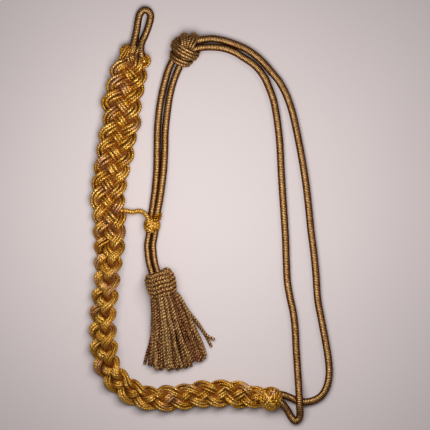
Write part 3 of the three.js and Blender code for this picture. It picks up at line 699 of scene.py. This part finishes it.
def top_lobe(place, low, high):
    """A lobe at the plait's top, where a bundle turns back beside the button loop: arcs of cord
    round a middle, from one angle to another, each further out and lower on its dome, at height
    h (1 - reach^2 / r^2)^(1/2), less half a cord."""
    skins = []
    turn = np.radians(np.linspace(low, high, 60))
    for reach in DOME_ARCS:
        height = DOME_HEIGHT * math.sqrt(1 - (reach / DOME_REACH) ** 2) - BUNDLE_CORD / MM / 2
        arc = [reach * np.cos(turn), reach * np.sin(turn), np.full(len(turn), height)]
        spots = MM * (np.column_stack(arc) + np.array([*place, 0]))
        skins.append(tube_rings(spots, BUNDLE_CORD / 2, BUNDLE_CORD_SIDES))
    return skins


for bundle_number in range(BUNDLES):
    grown(f"plait_bundle_{bundle_number + 1}", plait_bundle(bundle_number), BRIGHT_CORD,
          ["plait"])
top_lobes = top_lobe(*LEFT_DOME) + top_lobe(*RIGHT_DOME)
grown("plait_top_lobes", top_lobes, BRIGHT_CORD, ["plait"])
grown("plait_middle", [plait_core()], PLAIT_INSIDE, ["plait"])


# Knots

SLIDE_KNOT_PLACE = MM * np.array([40, -23])
SLIDE_KNOT_LENGTH = 30 * MM
SLIDE_KNOT_HEIGHT = 16 * MM
SLIDE_KNOT_CORD = 3.2 * MM
# How far a turn leans to the side from its middle to its top
SLIDE_KNOT_LEAN = -3.4 * MM
# Its sets of slanting turns: where each set lies and how wide it is, as shares of the knot's
# length, its slant in degrees, and the turns' shifts in millimetres, widths and heights as shares
SLIDE_KNOT_TURNS = (
    (-0.01, -0.01, 0.97, -31, ((-3.5, 0.97, 1), (-0.5, 1, 1.02), (2.4, 0.95, 0.97), (4.9, 0.82, 0.8))),
    (-0.15, -0.3, 0.82, -26, ((-2.3, 0.88, 0.84), (0.6, 0.98, 0.95), (3.6, 0.88, 0.76))),
    (-0.18, 0.15, 0.42, -31, ((0, 1, 0.86), (2.7, 0.84, 0.78), (5.3, 0.66, 0.62))),
)
# Its two loops, which come up over its far edge, as shares of its length and height, and how
# far apart their cords lie half way along and at both ends
SLIDE_KNOT_LOOPS = (
    (np.array([[-0.055, 0.39, 0.2], [-0.055, 0.44, 0.42], [-0.053, 0.4, 0.66], [-0.042, 0.29, 0.82],
               [-0.032, 0.17, 0.88], [-0.024, 0.07, 0.85], [-0.03, -0.08, 0.6]]), 2.5 * MM, 1.5 * MM),
    (np.array([[0.26, 0.39, 0.2], [0.266, 0.44, 0.42], [0.262, 0.4, 0.66], [0.232, 0.29, 0.83],
               [0.18, 0.17, 0.9], [0.125, 0.05, 0.87], [0.06, -0.11, 0.6]]), 2.9 * MM, 1.5 * MM),
)
# How much further in and lower than its middle one the outer cords of a loop start
SLIDE_KNOT_LOOP_FALL = MM * np.array([0, -1, -1.8])
# Its packed middle: how far that lies from the knot's place and how large it is, as shares of the
# knot's length and height, and its turn in degrees
SLIDE_KNOT_MIDDLE_SHIFT = np.array([-0.09, -0.02])
SLIDE_KNOT_MIDDLE_SIZE = np.array([0.66, 0.8, 0.79])
SLIDE_KNOT_MIDDLE_TURN = -24


def slide_knot():
    """Three slanting sets of closed turns side by side, and two loops that come up over its edge,
    each of three cords along one route. The outer cords of a loop start lower and further in than
    its middle one, by the square of the way left, so its end is round."""
    size, height = SLIDE_KNOT_LENGTH, SLIDE_KNOT_HEIGHT
    radius = SLIDE_KNOT_CORD / 2
    skins = []
    for x, y, width, slant, turns in SLIDE_KNOT_TURNS:
        for shift, wide, high in turns:
            centre = (*(SLIDE_KNOT_PLACE + size * np.array([x, y])), high * height / 2)
            skins.append(oval_turn(centre, wide * width * size, high * height, slant, radius,
                                   shift * MM, SLIDE_KNOT_LEAN))
    for loop, far, near in SLIDE_KNOT_LOOPS:
        route = loop * np.array([size, size, height]) + np.array([*SLIDE_KNOT_PLACE, 0])
        spots = evenly(smooth_route(route), 0.7 * MM)
        way = np.linspace(0, 1, len(spots))[:, None]
        ahead = unit(route[-1, :2] - route[0, :2])
        across = np.array([-ahead[1], ahead[0], 0])
        for aside in (-1, 0, 1):
            rounded = aside * aside * (1 - way) ** 2 * SLIDE_KNOT_LOOP_FALL
            apart = near + (far - near) * np.sin(np.pi * way)
            route_aside = spots + aside * apart * across + rounded
            skins.append(tube_rings(route_aside, radius, KNOT_CORD_SIDES))
    return skins


def slide_knot_core():
    """The knot's packed middle: one lump, smaller than the turns round it."""
    place = SLIDE_KNOT_PLACE + SLIDE_KNOT_LENGTH * SLIDE_KNOT_MIDDLE_SHIFT
    size = np.array([SLIDE_KNOT_LENGTH, SLIDE_KNOT_LENGTH, SLIDE_KNOT_HEIGHT]) * SLIDE_KNOT_MIDDLE_SIZE
    return lump((*place, SLIDE_KNOT_HEIGHT / 2), *size, SLIDE_KNOT_MIDDLE_TURN)


grown("slide_knot_turns", slide_knot(), KNOT_CORD, ["slide_knot"])
grown("slide_knot_middle", [slide_knot_core()], KNOT_INSIDE, ["slide_knot"])

END_KNOT_LENGTH = 22.5 * MM
END_KNOT_WIDTH = 22.5 * MM
END_KNOT_HEIGHT = 18 * MM
END_KNOT_CORD = 3.6 * MM
# How far past the plait's end the knot's middle lies, as a share of its length
END_KNOT_SHIFT = 0.36
# The size of a ball knot's packed middle, as a share of the knot's
BALL_MIDDLE = 0.84

knot_ahead = unit(plait_line[-1] - plait_line[-4])
knot_turn = math.degrees(math.atan2(knot_ahead[1], knot_ahead[0]))
end_knot_centre = (
    plait_line[-1] + END_KNOT_SHIFT * END_KNOT_LENGTH * knot_ahead + END_KNOT_HEIGHT / 2 * UP
)


def ball_knot(centre, size, ahead, cord, bands):
    """Closed turns of cord where slanting planes cut a ball. On a ball of radius 1 each is a
    circle at its offset from the middle; the ball is stretched to size and turned to lie ahead.
    A band gives its planes' level turn, their tip from upright, and each turn's offset."""
    turned = np.array([ahead, np.cross(UP, ahead), UP])
    half = (np.array(size) - cord) / 2
    t = round_turn(TURN_SPOTS)
    skins = []
    for level_turn, tip, offsets in bands:
        a, b = math.radians(level_turn), math.radians(tip)
        level = np.array([math.cos(a), math.sin(a), 0.0])
        square = np.array([-math.sin(a) * math.cos(b), math.cos(a) * math.cos(b), math.sin(b)])
        circle = np.outer(np.cos(t), level) + np.outer(np.sin(t), np.cross(level, square))
        for offset in offsets:
            ball = offset * square + math.sqrt(1 - offset**2) * circle
            skins.append(tube_rings(centre + (ball * half) @ turned, cord / 2, KNOT_CORD_SIDES,
                                    level=square @ turned, loop=True))
    return skins


END_KNOT_SIZE = (END_KNOT_LENGTH, END_KNOT_WIDTH, END_KNOT_HEIGHT)
# Each band of turns: its level turn and tip in degrees, and its turns' offsets, as shares
END_KNOT_BANDS = (
    (20, 74, (-0.3, 0.02, 0.34)),
    (64, 8, (-0.42, -0.1, 0.22, 0.52)),
    (-52, -12, (-0.36, -0.02, 0.32)),
    (90, 0, (0.68,)),
)
end_knot_turns = ball_knot(end_knot_centre, END_KNOT_SIZE, knot_ahead, END_KNOT_CORD, END_KNOT_BANDS)
grown("end_knot_turns", end_knot_turns, BRIGHT_CORD, ["end_knot"])
end_knot_middle = lump(end_knot_centre, *(BALL_MIDDLE * side for side in END_KNOT_SIZE), knot_turn)
grown("end_knot_middle", [end_knot_middle], BRIGHT_CORD, ["end_knot"])

BINDING_PLACE = MM * np.array([8.5, -187, 6.6])
BINDING_SIZE = (16.6 * MM, 15.8 * MM, 13 * MM)
BINDING_AHEAD = np.array([-0.14, -0.99, 0])
BINDING_CORD = 3 * MM
BINDING_BANDS = (
    (68, 10, (-0.62, -0.24, 0.14, 0.52)),
    (112, -8, (-0.35, 0.1)),
    (8, 24, (0.3,)),
    (20, 76, (-0.25, 0.15)),
)
BINDING_MIDDLE_TURN = -8
# Three turns above the ball, round the upper cord alone
UPPER_TURN_PLACES = MM * np.array([[13.4, -177.6, 9.1], [12.9, -179.9, 9.1], [12.3, -182, 9]])
UPPER_TURN_WIDTH = 9.6 * MM
UPPER_TURN_HEIGHT = 9.4 * MM
UPPER_TURN_CORD = 2.6 * MM
UPPER_TURN_ANGLE = 14

binding_turns = ball_knot(BINDING_PLACE, BINDING_SIZE, BINDING_AHEAD, BINDING_CORD, BINDING_BANDS)
for turn_place in UPPER_TURN_PLACES:
    binding_turns.append(oval_turn(turn_place, UPPER_TURN_WIDTH, UPPER_TURN_HEIGHT,
                                   UPPER_TURN_ANGLE, UPPER_TURN_CORD / 2))
grown("binding_knot_turns", binding_turns, BRIGHT_CORD, ["binding_knot"])
binding_length, binding_width, binding_height = (BALL_MIDDLE * side for side in BINDING_SIZE)
binding_middle = lump(BINDING_PLACE, binding_width, binding_length, binding_height,
                      BINDING_MIDDLE_TURN)
grown("binding_knot_middle", [binding_middle], BRIGHT_CORD, ["binding_knot"])


# Tassel

HEAD_WIDTH = 29.5 * MM
HEAD_THICKNESS = 24.5 * MM
HEAD_LENGTH = 23.5 * MM
HEAD_ROWS = 6
HEAD_RINGS_IN_ROW = 12
HEAD_SIDES = 192
# Places down the head from its cords, as shares, and how wide it is there, as shares
HEAD_PROFILE = ((0, 0.06, 0.22, 0.42, 0.62, 0.8, 1), (0.68, 0.85, 0.97, 1, 0.98, 0.93, 0.83))
# How deep the head's surface falls between its rows and beads
HEAD_GROOVE = 1.5 * MM
# The winding's tucked end: where it lies, as shares of the head's width, length and thickness
TUCK_PLACE = np.array([0.24, 0.92, 0.62])
TUCK_SIZE = (11 * MM, 8.4 * MM, 10 * MM)
TUCK_RINGS = 40
TUCK_SIDES = 60
TASSEL_TILT = math.radians(14)
TASSEL_PLACE = MM * np.array([19.8, -253, 0])
SKIRT_LENGTH = 69 * MM
SKIRT_ROOT_WIDTH = 25 * MM
SKIRT_FAN_LEFT = 34.5 * MM
SKIRT_FAN_RIGHT = 25.5 * MM
SKIRT_ROOT_HEIGHT = 22 * MM
SKIRT_TIP_HEIGHT = 9 * MM
# The gap between the head's lower end and the skirt's root
CLEARANCE = 0.3 * MM
# How far the skirt reaches, left to right, as a share of its length
SKIRT_REACH = (0.84, 0.855, 0.92, 0.945, 0.965, 0.98, 1, 0.99, 0.995, 0.97, 0.965, 0.94, 0.93)
# How far down each layer lies from the skirt's crown to the surface, as a share, and how many
# strands it has
SKIRT_LAYERS = ((0.0, 15), (0.22, 14), (0.5, 15), (0.78, 14), (1.0, 14))
STRAND_RADIUS = 1.65 * MM
STRAND_SIDES = 8
# Strands that have come out past the fan: two on the right and two on the left, in millimetres
# from the skirt's root
STRAY_RADIUS = 1.35 * MM
STRAY_ROUTES = (
    [[12, -1, 9], [19.5, -21, 6.5], [24.5, -32, 4.5], [29.3, -44.5, 3.6], [35.5, -50.4, 3.2]],
    [[11.5, -1, 8], [18.6, -21, 5.5], [23.6, -32, 3.5], [28.2, -44, 1.7], [31.2, -56.2, 1.6]],
    [[-11, -2, 9], [-16.6, -25, 6], [-23.2, -39, 3.5], [-29, -49, 1.8], [-33.2, -57, 1.6]],
    [[-10.5, -2, 10], [-15.4, -25, 7], [-21, -39, 4.5], [-26, -50, 2], [-29.2, -58.6, 1.6]],
)


def in_tassel(spots):
    """The tassel's own places, turned by its tilt and moved to where it lies."""
    cos, sin = math.cos(TASSEL_TILT), math.sin(TASSEL_TILT)
    x, y, z = np.moveaxis(spots, -1, 0)
    return np.stack([x * cos - y * sin, x * sin + y * cos, z], axis=-1) + TASSEL_PLACE


def tassel_head():
    """A barrel of wound rows that waver a little round it: each row swells by |sin| down the
    barrel, and its beads by a wave round it that leans one way in one row and the other way in
    the next."""
    share = np.linspace(0, 1, HEAD_ROWS * HEAD_RINGS_IN_ROW + 1)[:, None]
    angle = round_turn(HEAD_SIDES)[None, :]
    profile = np.interp(share, *HEAD_PROFILE)
    row = share * HEAD_ROWS + 0.22 * np.sin(2 * angle + 1) + 0.12 * np.sin(5 * angle)
    rounding = np.abs(np.sin(np.pi * row)) ** 0.6
    number = np.floor(row)
    lean = np.where(number % 2 == 0, 1.0, -1.0)
    beads = np.abs(np.cos(15 * angle + lean * 0.8 * np.pi * (row - number) + 1.3 * number)) ** 0.7
    radius = HEAD_WIDTH / 2 * profile - HEAD_GROOVE * (1 - rounding * (0.35 + 0.65 * beads))
    x = radius * np.cos(angle)
    z = radius * np.sin(angle) * HEAD_THICKNESS / HEAD_WIDTH + HEAD_THICKNESS / 2
    y = (HEAD_LENGTH * (1 - share) + CLEARANCE) * np.ones_like(angle)
    rings = in_tassel(np.stack([x, y, z], axis=-1))
    along = share[:, 0] * HEAD_LENGTH
    # Painted shade: its tone and shade is low in the grooves between rows and beads
    return {"rings": rings, "along": along, "loop": False, "tone_and_shade": rounding * beads}


def tassel_tuck():
    """The end of the winding, tucked in as a lump at the head's far corner. Its beads swell it by
    |sin| round it and |sin| down it, up to a tenth."""
    place = in_tassel(TUCK_PLACE * np.array([HEAD_WIDTH, HEAD_LENGTH, HEAD_THICKNESS]))
    tuck = lump(place, *TUCK_SIZE, math.degrees(TASSEL_TILT), TUCK_RINGS, TUCK_SIDES)
    down = np.linspace(0, 1, TUCK_RINGS)[:, None]
    round_it = np.linspace(0, 1, TUCK_SIDES, endpoint=False)[None, :]
    beads = np.abs(np.sin(np.pi * 6 * round_it + 4 * down)) ** 0.6
    relief = beads * np.abs(np.sin(np.pi * 5 * down)) ** 0.5
    middle = tuck["rings"].mean(axis=(0, 1))
    tuck["rings"] = middle + (tuck["rings"] - middle) * (0.9 + 0.1 * relief[..., None])
    # Painted shade: its tone and shade is low in the grooves between its beads
    return tuck | {"tone_and_shade": relief}


def strand(spots, radius):
    """One strand twisted from two plies, each a swelling that winds along it."""
    return tube_rings(spots, radius, STRAND_SIDES, plies=2, lay=2 * STRAND_PLY, ply_depth=STRAND_SWELL)


def skirt_strands():
    """The skirt's twisted strands, in layers from its crown down to the surface. fan runs from
    -1 at the left edge to 1 at the right. Sideways a strand goes from its root to its tip by a
    power of the way down, and its height falls by another; it waves a little on the way. The
    crown's height goes by (1 - 0.94 fan^2)^(1/2) across the fan, so the skirt is rounded."""
    skins = []
    way = np.linspace(0, 1, 120)
    lowest = 1.25 * STRAND_RADIUS
    for layer, count in SKIRT_LAYERS:
        for number in range(count):
            fan = -1 + 2 * (number + 0.5 + RANDOM.uniform(-0.35, 0.35)) / count
            side = (fan + 1) / 2
            reach = np.interp(side, np.linspace(0, 1, len(SKIRT_REACH)), SKIRT_REACH)
            reach = reach * (1 + RANDOM.uniform(-0.045, 0.03))
            down = reach * way
            root = fan * SKIRT_ROOT_WIDTH / 2
            tip = np.interp(side, [0, 1], [-SKIRT_FAN_LEFT, SKIRT_FAN_RIGHT])
            tip = tip + RANDOM.uniform(-1.2, 1.2) * MM
            x = root + (tip - root) * down ** np.interp(side, [0, 1], [1.45, 0.65])
            height = SKIRT_ROOT_HEIGHT + (SKIRT_TIP_HEIGHT - SKIRT_ROOT_HEIGHT) * down**0.75
            crown = math.sqrt(1 - 0.94 * fan * fan)
            middle = height / 2 * (1 + (1 - 2 * layer) * crown)
            z = np.maximum(middle + (2 * layer - 1) * STRAND_RADIUS, lowest)
            sway = RANDOM.uniform(0.4, 1.3) * MM * way
            beat, start = RANDOM.uniform(0.7, 2.4), RANDOM.uniform(0, 2 * np.pi)
            x = x + sway * np.sin(2 * np.pi * beat * way + start)
            z = np.maximum(z + 0.6 * sway * np.cos(2 * np.pi * beat * way + start), lowest)
            spots = in_tassel(np.column_stack([x, -down * SKIRT_LENGTH, z]))
            thick = STRAND_RADIUS * RANDOM.uniform(0.8, 1.08) * (0.8 + 0.2 * way**0.5)
            thick = thick * np.where(way > 0.985, 0.75, 1.0)
            skins.append(strand(spots, thick))
    return skins


def stray_strands():
    """The strands past the fan, each along its own route."""
    routes = (evenly(smooth_route(MM * np.array(route)), 0.6 * MM) for route in STRAY_ROUTES)
    return [strand(in_tassel(route), STRAY_RADIUS) for route in routes]


grown("tassel_head_rows", [tassel_head(), tassel_tuck()], WOVEN_HEAD, ["tassel_head"])
strands = skirt_strands() + stray_strands()
grown("tassel_skirt_strands", strands, TASSEL_THREAD, ["tassel_skirt"])


# Surface and light

FLOOR_REACH = 4
FLOOR_CORNERS = ((-1, -1), (1, -1), (1, 1), (-1, 1))
ROOM_COLOUR = (0.9, 0.88, 0.87, 1)
ROOM_STRENGTH = 0.12

floor_mesh = bpy.data.meshes.new("floor")
floor_spots = [(FLOOR_REACH * x, FLOOR_REACH * y, 0) for x, y in FLOOR_CORNERS]
floor_mesh.from_pydata(floor_spots, [], [(0, 1, 2, 3)])
floor_mesh.materials.append(floor_finish())
floor = bpy.data.objects.new("floor", floor_mesh)
bpy.context.collection.objects.link(floor)


def lamp(name, place, size, power, colour):
    """A soft square lamp that faces the middle of the aiguillette."""
    data = bpy.data.lights.new(name, "AREA")
    data.size = size
    data.energy = power
    data.color = colour
    light = bpy.data.objects.new(name, data)
    light.location = place
    aim = np.array([camera.location.x, camera.location.y, 0]) - np.array(place)
    flat = math.hypot(aim[0], aim[1])
    light.rotation_euler = (math.atan2(flat, -aim[2]), 0, math.atan2(aim[1], aim[0]) - math.pi / 2)
    light.visible_camera = False
    bpy.context.collection.objects.link(light)


lamp("key", (0.8, 0.5, 1.25), 0.4, 3.6, (1.0, 0.98, 0.95))
lamp("overhead", (0.045, -0.17, 0.35), 0.3, 1.42, (1.0, 0.98, 0.96))

world = bpy.data.worlds.new("room")
world.use_nodes = True
room_light = world.node_tree.nodes["Background"]
room_light.inputs["Color"].default_value = ROOM_COLOUR
room_light.inputs["Strength"].default_value = ROOM_STRENGTH
bpy.context.scene.world = world
bpy.context.scene.view_settings.view_transform = "Standard"
